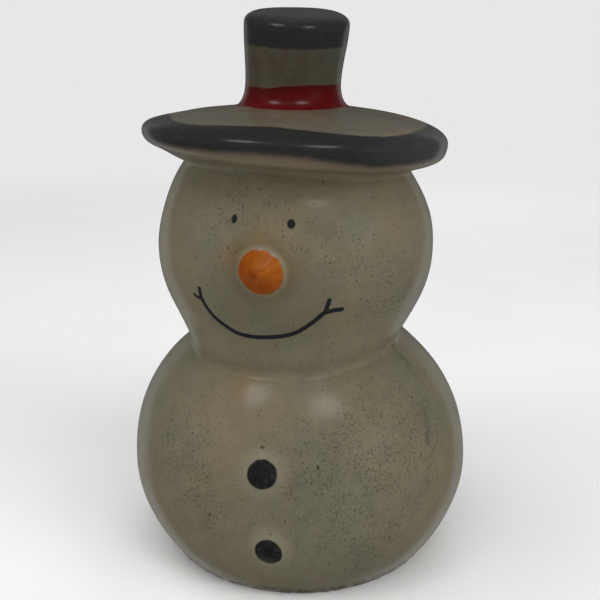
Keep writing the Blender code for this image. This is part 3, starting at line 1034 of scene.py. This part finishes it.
# %% Floor
FLOOR_REACH = 0.9
RIM_POINTS = 64
FADE_FROM = 200.0
FADE_TO = 700.0
PAPER_TONES = (0.89, 0.91)
floor_mesh = bpy.data.meshes.new("studio_floor")
ring_turn = np.linspace(0.0, 2.0 * np.pi, RIM_POINTS, endpoint=False)
floor_points = np.column_stack((np.cos(ring_turn), np.sin(ring_turn), 0.0 * ring_turn)) * FLOOR_REACH
floor_mesh.from_pydata(floor_points.tolist(), [], [list(range(RIM_POINTS))])
studio_floor = new_object("studio_floor", floor_mesh)
studio_floor.visible_glossy = False
studio_floor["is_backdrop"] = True
paper = Recipe("studio paper")
tone = paper.patches(60, 2, 0, 0.3, 0.7, *PAPER_TONES)
grey = paper.node("ShaderNodeCombineColor", tone, tone, tone)
paper.finish({"Base Color": grey, "Roughness": 0.9, "Specular IOR Level": 0.1})
floor_distance = paper.vector("LENGTH", paper.place, output="Value")
faded = paper.step(floor_distance, FADE_FROM, FADE_TO)
clear = paper.node("ShaderNodeBsdfTransparent")
fading = paper.node("ShaderNodeMixShader", faded, paper.surface.outputs[0], clear)
paper.feed(paper.nodes["Material Output"].inputs["Surface"], fading)
floor_mesh.materials.append(paper.material)

# %% [markdown]
# The camera is close, a little above the head and round to the right, and looks slightly down, so the brim of the
# hat opens into an oval.

# %% Camera
CAMERA_TURN = 13.4
camera_data = bpy.data.cameras.new("camera")
camera_data.lens = 47.9
camera_data.clip_start = 0.01
camera = new_object("camera", camera_data)
camera.location = (0.04109, -0.17247, 0.10835)
camera.rotation_euler = (math.radians(73.6), 0.0, math.radians(CAMERA_TURN))
bpy.context.scene.camera = camera
print("camera", round(camera.location.length / MM), "mm from the foot")

# %% [markdown]
# Six broad panels fill the room with soft light. They are hidden from reflections, and the two small lamps high on
# the left and right are not: they show as soft highlights on the round forms.

# %% Lamps
LAMP_DISTANCE = 0.7
AIM = np.array((0.0, 0.0, 0.07))
LAMPS = (
    # (name, turn right of the camera, elevation, light on a facing surface, width in m, mirrored)
    ("top_panel", 0, 70, 0.24, 0.5, False),
    ("left_panel", -72, 18, 0.41, 0.5, False),
    ("back_panel", -120, 50, 0.20, 0.5, False),
    ("rear_panel", 165, 20, 0.26, 0.5, False),
    ("right_panel", 55, 22, 0.60, 0.5, False),
    ("front_panel", -10, 15, 0.05, 0.4, False),
    ("left_lamp", -50, 56, 0.07, 0.2, True),
    ("right_lamp", 29, 53, 0.068, 0.2, True),
)


def toward(turn_deg, elevation):
    """The unit vector (sin t cos e, -cos t cos e, sin e), where t is the turn past the camera's own."""
    turn, rise = math.radians(turn_deg + CAMERA_TURN), math.radians(elevation)
    return np.array((math.sin(turn) * math.cos(rise), -math.cos(turn) * math.cos(rise), math.sin(rise)))


def lamp_at(name, turn_deg, elevation, light, width, mirrored):
    """A disc that faces the figure: light on it is watts / (pi^2 distance^2), as from a room of that strength."""
    lamp_data = bpy.data.lights.new(name, "AREA")
    lamp_data.shape = "DISK"
    lamp_data.size = width
    lamp_data.energy = light * math.pi**2 * LAMP_DISTANCE**2
    lamp = new_object(name, lamp_data)
    lamp.location = AIM + LAMP_DISTANCE * toward(turn_deg, elevation)
    lamp.rotation_euler = (math.radians(90.0 - elevation), 0.0, math.radians(turn_deg + CAMERA_TURN))
    lamp.visible_glossy = mirrored
    print(name, round(lamp_data.energy, 2), "W")


for lamp_values in LAMPS:
    lamp_at(*lamp_values)

# %% [markdown]
# The room itself is pale where the camera looks at it and gives a little light from all sides. In reflections it is
# dim, apart from a round backdrop low behind the figure, which is dark in its middle and pale towards its rim. Wax
# mirrors strongly only at a glancing angle, so the backdrop shows as a pale band along every outline, with a clear
# inner edge where its rim ends.

# %% Room
ROOM_SEEN = 0.80
ROOM_LIGHT = 0.20
DIM_REFLECTION = 0.05
BACKDROP_TONES = (0.065, 0.39)
BACKDROP_RISE_DEG = (9.0, 50.0)
BACKDROP_RIM_DEG = (48.0, 51.0)
BACKDROP_ELEVATION = -19.0
DARK_HEIGHT = 0.6
room = Recipe("pale_room", bpy.data.worlds.new("pale_room"))


def angle_from(direction, elevation):
    """Degrees between a direction in the room and the one straight behind the figure at this elevation."""
    behind = tuple(toward(180.0, elevation))
    return room.number("DEGREES", room.number("ARCCOSINE", room.dot(direction, behind)))


from_middle = angle_from(room.toward, BACKDROP_ELEVATION)
squeezed = room.vector("NORMALIZE", room.vector("MULTIPLY", room.toward, (1.0, 1.0, DARK_HEIGHT)))
backdrop = room.step(angle_from(squeezed, 0.0), *BACKDROP_RISE_DEG, *BACKDROP_TONES)
inside_rim = room.fall(from_middle, *BACKDROP_RIM_DEG)
mirrored = room.blend(inside_rim, DIM_REFLECTION, backdrop)
path = room.nodes.new("ShaderNodeLightPath")
tone = room.blend(path.outputs["Is Glossy Ray"], ROOM_LIGHT, mirrored)
tone = room.blend(path.outputs["Is Camera Ray"], tone, ROOM_SEEN)
room.finish({"Color": tone})
bpy.context.scene.world = room.material
bpy.context.scene.view_settings.view_transform = "Standard"
print("room:", len(room.nodes), "nodes")

sizes = {"solid": solid_box, "visual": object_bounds()}
for key, box in sizes.items():
    print(key, np.round(np.array(box) / MM, 2).tolist())
